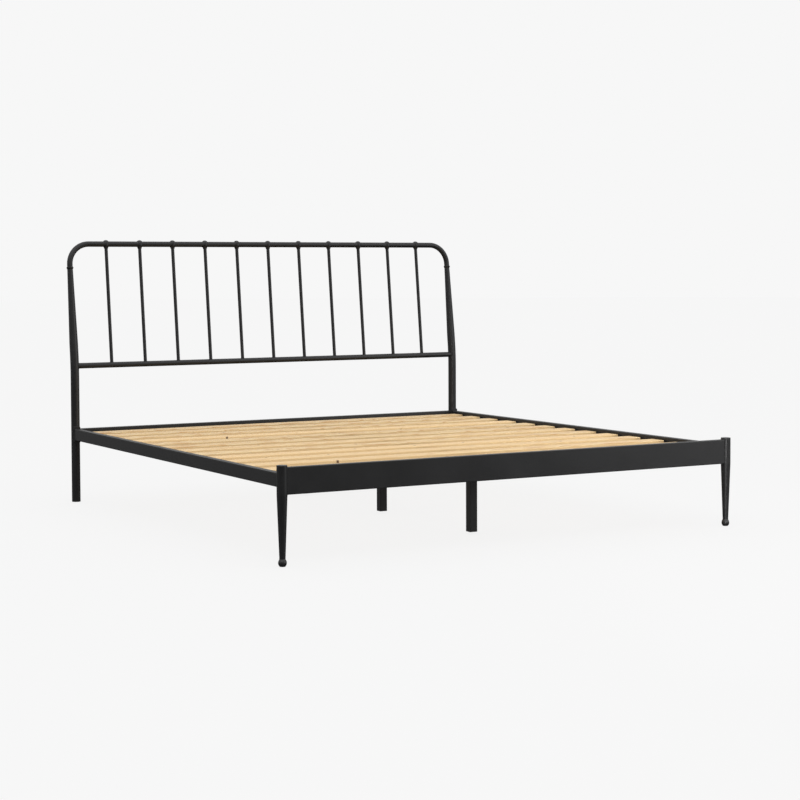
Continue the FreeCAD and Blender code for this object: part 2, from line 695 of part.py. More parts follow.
def slat_ledges():
    """Steel angles on the inner faces of the side rails, drilled for the slat screws."""
    for side, sign in SIDES:
        name = f"slat_ledge_{side}"
        body = new_body(name + "_body")
        section = sketch_on(body, name + "_section", "XZ_Plane")
        add_outline(section, "p", [
            ("0", "-dims.ledge_drop"),
            ("dims.ledge_thickness", "-dims.ledge_drop"),
            ("dims.ledge_thickness", "-dims.ledge_thickness"),
            ("dims.ledge_width", "-dims.ledge_thickness"),
            ("dims.ledge_width", "0"),
            ("0", "0"),
        ])
        pad(body, section, name + "_angle", "dims.ledge_length", symmetric=True)
        drill = sketch_on(body, name + "_hole_profile", "XY_Plane")
        first = "-(dims.slat_count - 1) / 2 * dims.slat_pitch"
        add_circle(drill, "h", "dims.slat_screw_radius", "dims.slat_screw_inset", first)
        hole = pocket(body, drill, name + "_hole")
        row_of_holes = body.newObject("PartDesign::LinearPattern", name + "_holes")
        row_of_holes.Originals = [hole]
        row_of_holes.Direction = (drill, ["V_Axis"])
        bind(row_of_holes, {
            "Length": "(dims.slat_count - 1) * dims.slat_pitch",
            "Occurrences": "dims.slat_count",
        })
        body.Tip = row_of_holes
        turned = HALF_TURN if sign > 0 else None
        place(body, f"{sign} * ({LEDGE_X})", "dims.platform_middle_y", "dims.ledge_top", turned)
        keep(body, name)


def slats():
    for number in range(int(value("dims.slat_count"))):
        name = f"slat_{number + 1:02d}"
        body = new_body(name + "_body")
        section = sketch_on(body, name + "_section", "YZ_Plane")
        size = ("dims.slat_width", "dims.slat_thickness")
        add_rounded_rectangle(section, "s", *size, "dims.slat_corner", bottom="0")
        pad(body, section, name + "_board", "dims.slat_length", symmetric=True)
        pilot = sketch_on(body, name + "_pilot_profile", "XY_Plane")
        for side, sign in SIDES:
            add_circle(pilot, side, "dims.slat_screw_radius", f"{sign} * ({SLAT_SCREW_X})")
        depth = "dims.slat_screw_length - dims.ledge_thickness + dims.slat_pilot_spare"
        pocket(body, pilot, name + "_pilot", depth, flipped=True)
        keep(place(body, "0", slat_y(number), "dims.ledge_top"), name)


def slat_screws():
    """Wood screws driven up through the ledges into the slats."""
    head, shank = "dims.slat_screw_head", "dims.slat_screw_radius"
    master = turned_body("wood_screw", [
        ("0", "-dims.slat_screw_length"),
        (shank, "-dims.slat_screw_length + dims.slat_screw_point"),
        (shank, "0"),
        (head, "0"),
        (head, "dims.slat_screw_head_height - dims.slat_screw_head_edge", "dims.slat_screw_head_edge"),
        (f"{head} - dims.slat_screw_head_edge", "dims.slat_screw_head_height"),
        ("0", "dims.slat_screw_head_height"),
    ])
    linked_group("slat_screws", master, [
        (f"{sign} * ({SLAT_SCREW_X})", slat_y(number), "dims.ledge_top - dims.ledge_thickness", HEAD_DOWN)
        for number in range(int(value("dims.slat_count")))
        for _, sign in SIDES
    ])


# Centre support ----------------------------------------------------------------------------

CENTRE_RAIL_BOTTOM = "dims.ledge_top - dims.centre_rail_height"
CENTRE_LEGS = (("front", -1), ("middle", 0), ("rear", 1))


def centre_leg_y(step):
    return f"dims.centre_leg_middle_y + {step} * dims.centre_leg_pitch"


def bracket_face_y(end):
    toward = "+" if end == "foot" else "-"
    return f"dims.{end}_axis_y {toward} dims.rail_width / 2"


def bracket_screw_y(end):
    toward = "+" if end == "foot" else "-"
    return f"{bracket_face_y(end)} {toward} dims.bracket_screw_y"


def flange_screw_places():
    return [
        f"{centre_leg_y(step)} + {sign} * dims.flange_screw_y"
        for _, step in CENTRE_LEGS
        for _, sign in SIDES
    ]


def centre_rail():
    body = rectangular_tube(
        "deck_rail", "XZ_Plane", "dims.centre_rail_width", "dims.centre_rail_height", "dims.tube_wall",
        "dims.centre_rail_length",
    )
    threads = sketch_on(body, "deck_rail_threads_profile", "XY_Plane")
    places = flange_screw_places() + [bracket_screw_y("foot"), bracket_screw_y("head")]
    for number, y in enumerate(places):
        add_circle(threads, f"t{number}", "dims.screw_radius", "0", f"{y} - dims.platform_middle_y")
    pocket(body, threads, "deck_rail_threads", "dims.centre_rail_height / 2 + dims.overshoot")
    middle = "dims.ledge_top - dims.centre_rail_height / 2"
    keep(place(body, "0", "dims.platform_middle_y", middle), "centre_rail")


def centre_rail_brackets():
    """Open cradles welded to the foot and head rails, which the centre rail drops into."""
    wall, inner = "dims.bracket_wall", "dims.centre_rail_width / 2 + dims.bracket_clearance"
    outer = f"{inner} + {wall}"
    master = new_body("cradle")
    channel = sketch_on(master, "cradle_section", "XZ_Plane")
    add_outline(channel, "u", [
        (f"-({outer})", f"-{wall}"),
        (outer, f"-{wall}"),
        (outer, "dims.bracket_height"),
        (inner, "dims.bracket_height"),
        (inner, "0"),
        (f"-({inner})", "0"),
        (f"-({inner})", "dims.bracket_height"),
        (f"-({outer})", "dims.bracket_height"),
    ])
    pad(master, channel, "cradle_channel", "dims.bracket_length", flipped=True)
    back = sketch_on(master, "cradle_back_profile", "XZ_Plane")
    add_outline(back, "b", [
        (f"-({outer})", f"-{wall}"),
        (outer, f"-{wall}"),
        (outer, "dims.bracket_height"),
        (f"-({outer})", "dims.bracket_height"),
    ])
    pad(master, back, "cradle_back", wall, flipped=True)
    hole = sketch_on(master, "cradle_hole_profile", "XY_Plane")
    add_circle(hole, "h", "dims.screw_hole_radius", "0", "dims.bracket_screw_y")
    pocket(master, hole, "cradle_hole")
    linked_group("centre_rail_brackets", master, [
        ("0", bracket_face_y("foot"), CENTRE_RAIL_BOTTOM, None),
        ("0", bracket_face_y("head"), CENTRE_RAIL_BOTTOM, HALF_TURN),
    ])


def centre_legs():
    """Square tubes with a welded plate on top; each body's origin is the plate's upper face."""
    size = "dims.centre_leg_size"
    length = f"{CENTRE_RAIL_BOTTOM} - dims.centre_leg_bottom - dims.plug_flange"
    for where, step in CENTRE_LEGS:
        name = f"centre_leg_{where}"
        body = rectangular_tube(
            name + "_body", "XY_Plane", size, size, "dims.tube_wall", length,
            symmetric=False, flipped=True,
        )
        plate = sketch_on(body, name + "_flange_profile", "XY_Plane")
        add_rounded_rectangle(plate, "f", size, "dims.flange_length", "dims.rail_corner")
        pad(body, plate, name + "_flange", "dims.flange_thickness", flipped=True)
        holes = sketch_on(body, name + "_holes_profile", "XY_Plane")
        for side, sign in SIDES:
            add_circle(holes, side, "dims.screw_hole_radius", "0", f"{sign} * dims.flange_screw_y")
        pocket(body, holes, name + "_holes", "dims.flange_thickness + dims.overshoot")
        keep(place(body, "0", centre_leg_y(step), CENTRE_RAIL_BOTTOM), name)


def centre_leg_plugs():
    """Plugs in the leg ends, with a threaded bore and a pocket for the leveller's pad."""
    size = "dims.centre_leg_size"
    inside = f"{size} - 2 * (dims.tube_wall + dims.plug_clearance)"
    master = new_body("leg_plug")
    rim = sketch_on(master, "leg_plug_rim_profile", "XY_Plane")
    add_rounded_rectangle(rim, "r", size, size, "dims.rail_corner")
    pad(master, rim, "leg_plug_rim", "dims.plug_flange")
    core = sketch_on(master, "leg_plug_core_profile", "XY_Plane")
    add_rounded_rectangle(core, "c", inside, inside, "dims.rail_corner")
    pad(master, core, "leg_plug_core", "dims.plug_height")
    recess = sketch_on(master, "leg_plug_recess_profile", "XY_Plane")
    add_circle(recess, "r", "dims.plug_recess_radius")
    pocket(master, recess, "leg_plug_recess", "dims.plug_recess_depth", flipped=True)
    bore = sketch_on(master, "leg_plug_bore_profile", "XY_Plane")
    add_circle(bore, "b", "dims.leveller_bore_radius")
    pocket(master, bore, "leg_plug_bore")
    linked_group("centre_leg_plugs", master, [
        ("0", centre_leg_y(step), "dims.centre_leg_bottom", None) for _, step in CENTRE_LEGS
    ])


def levellers():
    """Screw feet: a pad on an M8 stem that turns in the plug and comes down to the floor."""
    for where, step in CENTRE_LEGS:
        foot = turned_body(f"screw_foot_{where}", [
            ("0", "0"),
            ("dims.leveller_pad_radius - dims.glide_edge", "0", "dims.glide_edge"),
            ("dims.leveller_pad_radius", "dims.glide_edge"),
            ("dims.leveller_pad_radius", "dims.leveller_pad_height"),
            ("dims.leveller_stem_radius", "dims.leveller_pad_height"),
            ("dims.leveller_stem_radius", "dims.leveller_stem_top - dims.leveller_chamfer"),
            ("dims.leveller_stem_radius - dims.leveller_chamfer", "dims.leveller_stem_top"),
            ("0", "dims.leveller_stem_top"),
        ])
        keep(place(foot, "0", centre_leg_y(step), "dims.centre_leg_bottom"), f"leveller_{where}")


# Machine screws ----------------------------------------------------------------------------

def button_head_screw():
    """An M6 button head screw, its head standing up from the origin and its shank below it."""
    head = "dims.screw_head_radius"
    flat = "dims.screw_socket / 2 + dims.screw_head_flat"
    master = turned_body("button_screw", [
        ("0", "-dims.screw_length"),
        ("dims.screw_radius - dims.screw_chamfer", "-dims.screw_length"),
        ("dims.screw_radius", "-dims.screw_length + dims.screw_chamfer"),
        ("dims.screw_radius", "0"),
        (head, "0"),
        (head, "dims.screw_head_rim", "dims.screw_head_dome"),
        (flat, "dims.screw_head_height"),
        ("0", "dims.screw_head_height"),
    ])
    socket = sketch_on(master, "button_screw_socket_profile", "XY_Plane")
    across = "dims.screw_socket / sqrt(3)"
    add_outline(socket, "s", [
        (f"{across} * cos({60 * corner + 30} deg)", f"{across} * sin({60 * corner + 30} deg)")
        for corner in range(6)
    ])
    socket.AttachmentOffset = Placement(Vector(0, 0, value("dims.screw_head_height")), Rotation())
    socket.setExpression("AttachmentOffset.Base.z", "dims.screw_head_height")
    pocket(master, socket, "button_screw_socket", "dims.screw_socket_depth")
    return master


def frame_screws():
    rise = f"{RAIL_MIDDLE_Z} + dims.rail_screw_rise"
    places = []
    for _, sign in SIDES:
        inward = Rotation(Vector(0, 0, 1), Vector(-sign, 0, 0))
        face = f"{sign} * ({LEDGE_X})"
        for distance in screw_distances(FOOT_END_SCREWS):
            places.append((face, f"dims.foot_axis_y + {distance}", rise, inward))
        for distance in screw_distances(HEAD_END_SCREWS):
            places.append((face, f"dims.head_axis_y - ({distance})", rise, inward))
    for y in flange_screw_places():
        places.append(("0", y, f"{CENTRE_RAIL_BOTTOM} - dims.flange_thickness", HEAD_DOWN))
    for end in ("foot", "head"):
        places.append(("0", bracket_screw_y(end), f"{CENTRE_RAIL_BOTTOM} - dims.bracket_wall", HEAD_DOWN))
    linked_group("frame_screws", button_head_screw(), places)


# Building and writing ----------------------------------------------------------------------

def build():
    head_top_tube()
    outsides = head_posts()
    head_collars()
    head_lower_tube(outsides)
    spindles()
    ball_connectors()
    head_rail()
    head_glides()
    foot_rail()
    foot_legs()
    foot_leg_caps()
    foot_glides()
    side_rails()
    rail_spigots()
    slat_ledges()
    slats()
    slat_screws()
    centre_rail()
    centre_rail_brackets()
    centre_legs()
    centre_leg_plugs()
    levellers()
    frame_screws()
    doc.recompute()


def check():
    for item in doc.Objects:
        if {"Invalid", "Error"} & set(item.State):
            raise RuntimeError(f"{item.Name} failed to rebuild: {item.State}")
    for item in nodes:
        if item.Shape.isNull() or not item.Shape.isValid() or not item.Shape.Solids:
            raise RuntimeError(f"{item.Label} has no valid solid")


def write():
    os.makedirs("parts", exist_ok=True)
    for item in nodes:
        item.Shape.exportStep(f"parts/{item.Label}.step")
        print(f"{item.Label}: {len(item.Shape.Solids)} solids, {item.Shape.Volume / 1000:.1f} cm3")


build()
check()
write()
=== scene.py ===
from math import atan2, cos, pi, radians, sin, sqrt, tau

import bpy
from mathutils import Matrix, Vector


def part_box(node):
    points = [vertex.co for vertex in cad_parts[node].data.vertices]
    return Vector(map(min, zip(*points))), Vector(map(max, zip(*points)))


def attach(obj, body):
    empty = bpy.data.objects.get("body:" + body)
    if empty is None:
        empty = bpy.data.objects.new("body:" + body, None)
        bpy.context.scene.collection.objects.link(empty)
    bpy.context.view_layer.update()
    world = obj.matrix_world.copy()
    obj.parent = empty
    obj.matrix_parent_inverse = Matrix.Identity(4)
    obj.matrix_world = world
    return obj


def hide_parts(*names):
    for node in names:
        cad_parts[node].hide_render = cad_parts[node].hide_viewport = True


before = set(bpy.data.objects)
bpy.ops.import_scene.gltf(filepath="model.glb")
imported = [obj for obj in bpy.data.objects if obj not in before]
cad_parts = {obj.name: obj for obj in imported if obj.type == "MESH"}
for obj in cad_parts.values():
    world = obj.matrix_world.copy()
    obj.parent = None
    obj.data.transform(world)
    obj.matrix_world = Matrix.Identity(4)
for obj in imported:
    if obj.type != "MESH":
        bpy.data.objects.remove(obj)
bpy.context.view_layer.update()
print("frame loaded:", len(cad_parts), "nodes")

# Metal bed frame: black powder-coated steel tube, nylon glides and caps, pine slats.
# Everything is in metres. The head end is at +Y and the floor is at z = 0.

bed = {
    "legX": 0.985,            # axes of legs and posts
    "footY": -1.0655,         # axes of the foot legs
    "headY": 1.0095,          # axes of the head posts at the floor
    "legRadius": 0.019,
    "railHalfWidth": 0.0125,
    "railCorner": 0.0025,
    "tubeRadius": 0.0125,     # headboard tubes
    "spindleRadius": 0.0075,
    "kneeZ": 0.606,
    "kneeBend": 1.0,          # radius that the posts bend on at the knee
    "rake": radians(6.3),
    "saddleHalfWidth": 0.014,  # plate between a head post and a side rail
    "saddleLevels": (0.266, 0.336),
    "cradleHalfWidth": 0.0183,  # cradles under the ends of the centre rail
    "cradleLevels": (0.2545, 0.2915),
    "legPlate": 0.003,        # thickness of the plate on a centre leg
}
sides = (-1, 1)


def clearSelection():
    if bpy.context.object and bpy.context.object.mode != "OBJECT":
        bpy.ops.object.mode_set(mode="OBJECT")
    bpy.ops.object.select_all(action="DESELECT")


def applyModifier(piece, kind, settings):
    bpy.context.view_layer.objects.active = piece
    modifier = piece.modifiers.new(kind, kind)
    for name, value in settings.items():
        setattr(modifier, name, value)
    bpy.ops.object.modifier_apply(modifier=modifier.name)


def selectFaces(piece, wanted):
    # in edit mode: selects the faces for which wanted(centre, normal) is true
    bpy.ops.mesh.select_mode(type="FACE")
    bpy.ops.mesh.select_all(action="DESELECT")
    bpy.ops.object.mode_set(mode="OBJECT")
    for face in piece.data.polygons:
        face.select = bool(wanted(face.center, face.normal))
    bpy.ops.object.mode_set(mode="EDIT")


def selectCorners(piece, wanted):
    # in edit mode: selects the corners for which wanted(place) is true
    bpy.ops.mesh.select_mode(type="VERT")
    bpy.ops.mesh.select_all(action="DESELECT")
    bpy.ops.object.mode_set(mode="OBJECT")
    for corner in piece.data.vertices:
        corner.select = bool(wanted(corner.co))
    bpy.ops.object.mode_set(mode="EDIT")


def placePiece(piece, name, material, body="frame"):
    # leaves the piece at the origin with its place in its mesh, as the frame's own nodes are
    clearSelection()
    piece.select_set(True)
    bpy.context.view_layer.objects.active = piece
    bpy.ops.object.transform_apply(location=True, rotation=True, scale=True)
    piece.name = name
    piece.data.name = name
    piece.data.materials.clear()
    piece.data.materials.append(material)
    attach(piece, body)
    piece.select_set(False)


# Materials

def hexColour(text):
    # sRGB hex to the linear values that shaders want
    channels = [int(text[i:i + 2], 16) / 255 for i in (1, 3, 5)]
    return [c / 12.92 if c <= 0.04045 else ((c + 0.055) / 1.055) ** 2.4 for c in channels] + [1]


def addNode(tree, kind, settings=None, inputs=None):
    node = tree.nodes.new(kind)
    for name, value in (settings or {}).items():
        setattr(node, name, value)
    for socket, value in (inputs or {}).items():
        if isinstance(value, bpy.types.NodeSocket):
            tree.links.new(value, node.inputs[socket])
        else:
            node.inputs[socket].default_value = value
    return node


def newMaterial(name):
    material = bpy.data.materials.new(name)
    material.use_nodes = True
    material.node_tree.nodes.clear()
    return material, material.node_tree


powder = {
    "base": "#151516",
    "thin": "#1d1d1e",        # where the coat is thinner and dust has settled
    "roughnessLow": 0.36,
    "roughnessHigh": 0.50,
    "peelSize": 0.0040,       # orange peel, crest to crest
    "peelDepth": 0.00012,
    "grainSize": 0.0009,      # fine texture of the satin powder, really near 0.2 mm
    "grainDepth": 0.00005,
    "cloudSize": 0.16,
    "cloudShare": 0.5,        # how far uneven thickness takes the colour to the thinner one
    "dustShare": 0.55,        # and how far dust on top takes it there
    "speckle": 0.35,          # how much the grain roughens it
    "specular": 0.42,
}


def makePowderCoat():
    # Satin polyester powder sprayed on steel tube and baked: faint orange peel breaks up the highlights
    material, tree = newMaterial("powderCoatedSteel")
    place = addNode(tree, "ShaderNodeTexCoord").outputs["Object"]
    cloud = addNode(tree, "ShaderNodeTexNoise", inputs={
        "Vector": place, "Scale": 1 / powder["cloudSize"], "Detail": 3.0, "Roughness": 0.6})
    peel = addNode(tree, "ShaderNodeTexNoise", inputs={
        "Vector": place, "Scale": 1 / powder["peelSize"], "Detail": 1.0, "Roughness": 0.4})
    grain = addNode(tree, "ShaderNodeTexNoise", inputs={
        "Vector": place, "Scale": 1 / powder["grainSize"], "Detail": 2.0, "Roughness": 0.7})
    # dust settles on whatever faces up, and dulls it a little
    normal = addNode(tree, "ShaderNodeSeparateXYZ", inputs={
        0: addNode(tree, "ShaderNodeNewGeometry").outputs["Normal"]})
    upward = addNode(tree, "ShaderNodeMapRange", inputs={
        "Value": normal.outputs["Z"], "From Min": 0.3, "From Max": 1.0,
        "To Min": 0.0, "To Max": powder["dustShare"]})
    dust = addNode(tree, "ShaderNodeMath", {"operation": "MULTIPLY"}, {
        0: upward.outputs[0], 1: cloud.outputs["Fac"]})
    clouded = addNode(tree, "ShaderNodeMapRange", inputs={
        "Value": cloud.outputs["Fac"], "From Min": 0.3, "From Max": 0.7,
        "To Min": 0.0, "To Max": powder["cloudShare"]})
    tone = addNode(tree, "ShaderNodeMath", {"operation": "ADD", "use_clamp": True}, {
        0: dust.outputs[0], 1: clouded.outputs[0]})
    colour = addNode(tree, "ShaderNodeMix", {"data_type": "RGBA"}, {
        "Factor": tone.outputs[0], 6: hexColour(powder["base"]), 7: hexColour(powder["thin"])})
    speckled = addNode(tree, "ShaderNodeMath", {"operation": "MULTIPLY_ADD"}, {
        0: grain.outputs["Fac"], 1: powder["speckle"], 2: tone.outputs[0]})
    roughness = addNode(tree, "ShaderNodeMapRange", inputs={
        "Value": speckled.outputs[0], "From Min": 0.0, "From Max": 1.0,
        "To Min": powder["roughnessLow"], "To Max": powder["roughnessHigh"]})
    waves = addNode(tree, "ShaderNodeBump", inputs={
        "Height": peel.outputs["Fac"], "Distance": powder["peelDepth"], "Strength": 1.0})
    bump = addNode(tree, "ShaderNodeBump", inputs={
        "Height": grain.outputs["Fac"], "Distance": powder["grainDepth"], "Strength": 1.0,
        "Normal": waves.outputs[0]})
    shader = addNode(tree, "ShaderNodeBsdfPrincipled", inputs={
        "Base Color": colour.outputs[2], "Roughness": roughness.outputs[0], "Normal": bump.outputs[0],
        "IOR": 1.5, "Specular IOR Level": powder["specular"]})
    addNode(tree, "ShaderNodeOutputMaterial", inputs={"Surface": shader.outputs[0]})
    return material


nylon = {
    "base": "#111112",
    "rubbed": "#1c1c1d",
    "roughnessLow": 0.36,
    "roughnessHigh": 0.52,
    "sparkSize": 0.0006,      # spark-eroded mould texture, really near 0.15 mm
    "sparkDepth": 0.00003,
    "flowSize": 0.012,        # faint swirls where the melt met
}


def makeNylon():
    # Moulded PA6 with a spark-eroded texture: matt, a touch greyer than the coated steel
    material, tree = newMaterial("mouldedNylon")
    place = addNode(tree, "ShaderNodeTexCoord").outputs["Object"]
    spark = addNode(tree, "ShaderNodeTexVoronoi", {"feature": "SMOOTH_F1"}, {
        "Vector": place, "Scale": 1 / nylon["sparkSize"], "Smoothness": 0.6})
    flow = addNode(tree, "ShaderNodeTexNoise", inputs={
        "Vector": place, "Scale": 1 / nylon["flowSize"], "Detail": 4.0, "Distortion": 1.2})
    colour = addNode(tree, "ShaderNodeMix", {"data_type": "RGBA"}, {
        "Factor": flow.outputs["Fac"], 6: hexColour(nylon["base"]), 7: hexColour(nylon["rubbed"])})
    mixed = addNode(tree, "ShaderNodeMath", {"operation": "MULTIPLY"}, {
        0: flow.outputs["Fac"], 1: spark.outputs["Distance"]})
    roughness = addNode(tree, "ShaderNodeMapRange", inputs={
        "Value": mixed.outputs[0], "From Min": 0.0, "From Max": 0.5,
        "To Min": nylon["roughnessLow"], "To Max": nylon["roughnessHigh"]})
    bump = addNode(tree, "ShaderNodeBump", inputs={
        "Height": spark.outputs["Distance"], "Distance": nylon["sparkDepth"], "Strength": 1.0})
    shader = addNode(tree, "ShaderNodeBsdfPrincipled", inputs={
        "Base Color": colour.outputs[2], "Roughness": roughness.outputs[0], "Normal": bump.outputs[0],
        "IOR": 1.53})
    addNode(tree, "ShaderNodeOutputMaterial", inputs={"Surface": shader.outputs[0]})
    return material


blackZinc = {
    "name": "blackZincSteel",
    "base": "#2c2c2f",
    "tint": "#3b342d",        # the passivation shows brown where it is thin
    "roughnessLow": 0.28,
    "roughnessHigh": 0.46,
    "patchSize": 0.004,
    "markSize": 0.0004,
    "markDepth": 0.00001,
}
brightZinc = {
    "name": "zincPlatedSteel",
    "base": "#b7bbc1",
    "tint": "#a6adb9",        # blue passivation
    "roughnessLow": 0.24,
    "roughnessHigh": 0.42,
    "patchSize": 0.006,
    "markSize": 0.0005,
    "markDepth": 0.00001,
}


def makePlatedSteel(plate):
    # Barrel-plated fasteners: patchy passivation colours and the fine dings of tumbling
    material, tree = newMaterial(plate["name"])
    place = addNode(tree, "ShaderNodeTexCoord").outputs["Object"]
    patches = addNode(tree, "ShaderNodeTexNoise", inputs={
        "Vector": place, "Scale": 1 / plate["patchSize"], "Detail": 4.0, "Roughness": 0.6})
    marks = addNode(tree, "ShaderNodeTexVoronoi", inputs={
        "Vector": place, "Scale": 1 / plate["markSize"], "Randomness": 1.0})
    colour = addNode(tree, "ShaderNodeMix", {"data_type": "RGBA"}, {
        "Factor": patches.outputs["Fac"], 6: hexColour(plate["base"]), 7: hexColour(plate["tint"])})
    roughness = addNode(tree, "ShaderNodeMapRange", inputs={
        "Value": patches.outputs["Fac"], "From Min": 0.3, "From Max": 0.7,
        "To Min": plate["roughnessLow"], "To Max": plate["roughnessHigh"]})
    bump = addNode(tree, "ShaderNodeBump", inputs={
        "Height": marks.outputs["Distance"], "Distance": plate["markDepth"], "Strength": 1.0})
    shader = addNode(tree, "ShaderNodeBsdfPrincipled", inputs={
        "Base Color": colour.outputs[2], "Roughness": roughness.outputs[0], "Normal": bump.outputs[0],
        "Metallic": 1.0})
    addNode(tree, "ShaderNodeOutputMaterial", inputs={"Surface": shader.outputs[0]})
    return material


pine = {
    # through one year, from spring to autumn
    "rings": ((0.0, "#e9d3a8"), (0.45, "#dfbe88"), (0.84, "#bd8a50"), (0.96, "#e4cb9c")),
    "knot": "#7a4e2a",
    "knotRim": "#452b18",
    "ringWidth": 0.0036,
    "pith": (0.110, 0.045),   # how far the middle of the tree lies to the side of a board, and below it
    "wander": 0.022,          # boards aren't sawn quite along the tree
    "wanderLength": 0.60,
    "rippleLength": 0.08,
    "rippleWidth": 1 / 90,
    "ripple": 0.7,            # in rings
    "knotCell": 0.23,         # one knot in each patch of this size, if it lands on the board
    "knotShift": 7.0,         # moves the patches to a place of their own on each board
    "knotRadius": 0.008,
    "knotReach": 0.030,       # rings bend round a knot this far out
    "knotBend": 3.5,          # in rings
    "ragged": 0.02,           # how uneven a knot's edge is, in patches
    "raggedSize": 1 / 150,
    "fibreLength": 0.035,
    "fibreWidth": 0.0007,     # really near 0.3 mm, drawn coarser so that it shows
    "streak": 0.07,
    "shade": (0.80, 1.04),    # how much the boards differ
    "roughness": (0.62, 0.46),
    "ridgeDepth": 0.00006,
}


def makePine():
    # Planed pine: the rings' middle lies outside the board, so faces show long arches and ends show arcs
    material, tree = newMaterial("planedPine")
    low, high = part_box("slat_01")
    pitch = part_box("slat_02")[0].y - low.y
    firstY = (low.y + high.y - pitch) / 2
    middleZ = (low.z + high.z) / 2
    side, below = pine["pith"]
    place = addNode(tree, "ShaderNodeTexCoord").outputs["Object"]
    x, y, _ = addNode(tree, "ShaderNodeSeparateXYZ", inputs={0: place}).outputs
    # each board takes its own three chances from its number
    steps = addNode(tree, "ShaderNodeMath", {"operation": "MULTIPLY_ADD"}, {
        0: y, 1: 1 / pitch, 2: -firstY / pitch})
    board = addNode(tree, "ShaderNodeMath", {"operation": "FLOOR"}, {0: steps.outputs[0]}).outputs[0]
    chance = addNode(tree, "ShaderNodeTexWhiteNoise", {"noise_dimensions": "1D"}, {
        "W": board}).outputs["Color"]
    luck = addNode(tree, "ShaderNodeSeparateColor", inputs={0: chance}).outputs
    # the place on the board: x and z never reach 9 m, so only y is wrapped
    within = addNode(tree, "ShaderNodeVectorMath", {"operation": "WRAP"}, {
        0: place, 1: (9, firstY + pitch, 9), 2: (-9, firstY, -9)})
    # where the pith runs, wandering slowly along the board
    pith = addNode(tree, "ShaderNodeVectorMath", {"operation": "MULTIPLY_ADD"}, {
        0: chance, 1: (0, 2 * side, below), 2: (0, -firstY - pitch / 2 - side, below - middleZ)})
    stretched = addNode(tree, "ShaderNodeMapping", inputs={
        "Vector": place, "Scale": (1 / pine["wanderLength"], 2 / pitch, 1)})
    slow = addNode(tree, "ShaderNodeTexNoise", inputs={
        "Vector": stretched.outputs[0], "Scale": 1, "Detail": 1.5})
    wandering = addNode(tree, "ShaderNodeVectorMath", {"operation": "MULTIPLY_ADD"}, {
        0: slow.outputs["Color"], 1: (0, 2 * pine["wander"], 2 * pine["wander"]), 2: pith.outputs[0]})
    fromPith = addNode(tree, "ShaderNodeVectorMath", {"operation": "ADD"}, {
        0: within.outputs[0], 1: wandering.outputs[0]})
    flat = addNode(tree, "ShaderNodeVectorMath", {"operation": "MULTIPLY"}, {
        0: fromPith.outputs[0], 1: (0, 1, 1)})
    radius = addNode(tree, "ShaderNodeVectorMath", {"operation": "LENGTH"}, {
        0: flat.outputs[0]}).outputs["Value"]
    # knots, each at the middle of a patch
    patchY = addNode(tree, "ShaderNodeMath", {"operation": "MULTIPLY_ADD"}, {
        0: luck[2], 1: pine["knotShift"], 2: y})
    patch = addNode(tree, "ShaderNodeCombineXYZ", inputs={0: x, 1: patchY.outputs[0]})
    knots = addNode(tree, "ShaderNodeTexVoronoi", {"voronoi_dimensions": "2D"}, {
        "Vector": patch.outputs[0], "Scale": 1 / pine["knotCell"], "Randomness": 0.9})
    uneven = addNode(tree, "ShaderNodeTexNoise", inputs={
        "Vector": place, "Scale": 1 / pine["raggedSize"], "Detail": 2})
    toKnot = addNode(tree, "ShaderNodeMath", {"operation": "MULTIPLY_ADD"}, {
        0: uneven.outputs["Fac"], 1: pine["ragged"], 2: knots.outputs["Distance"]}).outputs[0]
    bend = addNode(tree, "ShaderNodeMapRange", {"interpolation_type": "SMOOTHERSTEP"}, {
        "Value": toKnot, "From Min": 0, "From Max": pine["knotReach"] / pine["knotCell"],
        "To Min": pine["knotBend"], "To Max": 0})
    # year rings, counted from the pith
    rippleAt = addNode(tree, "ShaderNodeMapping", inputs={
        "Vector": place,
        "Scale": (1 / pine["rippleLength"], 1 / pine["rippleWidth"], 1 / pine["rippleWidth"])})
    ripple = addNode(tree, "ShaderNodeTexNoise", inputs={
        "Vector": rippleAt.outputs[0], "Scale": 1, "Detail": 2})
    bent = addNode(tree, "ShaderNodeMath", {"operation": "MULTIPLY_ADD"}, {
        0: ripple.outputs["Fac"], 1: pine["ripple"], 2: bend.outputs[0]})
    years = addNode(tree, "ShaderNodeMath", {"operation": "MULTIPLY_ADD"}, {
        0: radius, 1: 1 / pine["ringWidth"], 2: bent.outputs[0]})
    season = addNode(tree, "ShaderNodeMath", {"operation": "FRACT"}, {0: years.outputs[0]}).outputs[0]
    rings = addNode(tree, "ShaderNodeValToRGB", inputs={0: season})
    while len(rings.color_ramp.elements) < len(pine["rings"]):
        rings.color_ramp.elements.new(0.5)
    for element, (position, tint) in zip(rings.color_ramp.elements, pine["rings"]):
        element.position = position
        element.color = hexColour(tint)
    # fibres, and the shade of the whole board
    fibreAt = addNode(tree, "ShaderNodeMapping", inputs={
        "Vector": place,
        "Scale": (1 / pine["fibreLength"], 1 / pine["fibreWidth"], 1 / pine["fibreWidth"])})
    fibre = addNode(tree, "ShaderNodeTexNoise", inputs={
        "Vector": fibreAt.outputs[0], "Scale": 1, "Detail": 3, "Roughness": 0.6})
    streak = addNode(tree, "ShaderNodeMapRange", inputs={
        "Value": fibre.outputs["Fac"], "From Min": 0.25, "From Max": 0.75,
        "To Min": -pine["streak"], "To Max": pine["streak"]})
    boardShade = addNode(tree, "ShaderNodeMapRange", inputs={
        "Value": luck[1], "To Min": pine["shade"][0], "To Max": pine["shade"][1]})
    shade = addNode(tree, "ShaderNodeMath", {"operation": "ADD"}, {
        0: streak.outputs[0], 1: boardShade.outputs[0]})
    wood = addNode(tree, "ShaderNodeVectorMath", {"operation": "SCALE"}, {
        0: rings.outputs["Color"], "Scale": shade.outputs[0]})
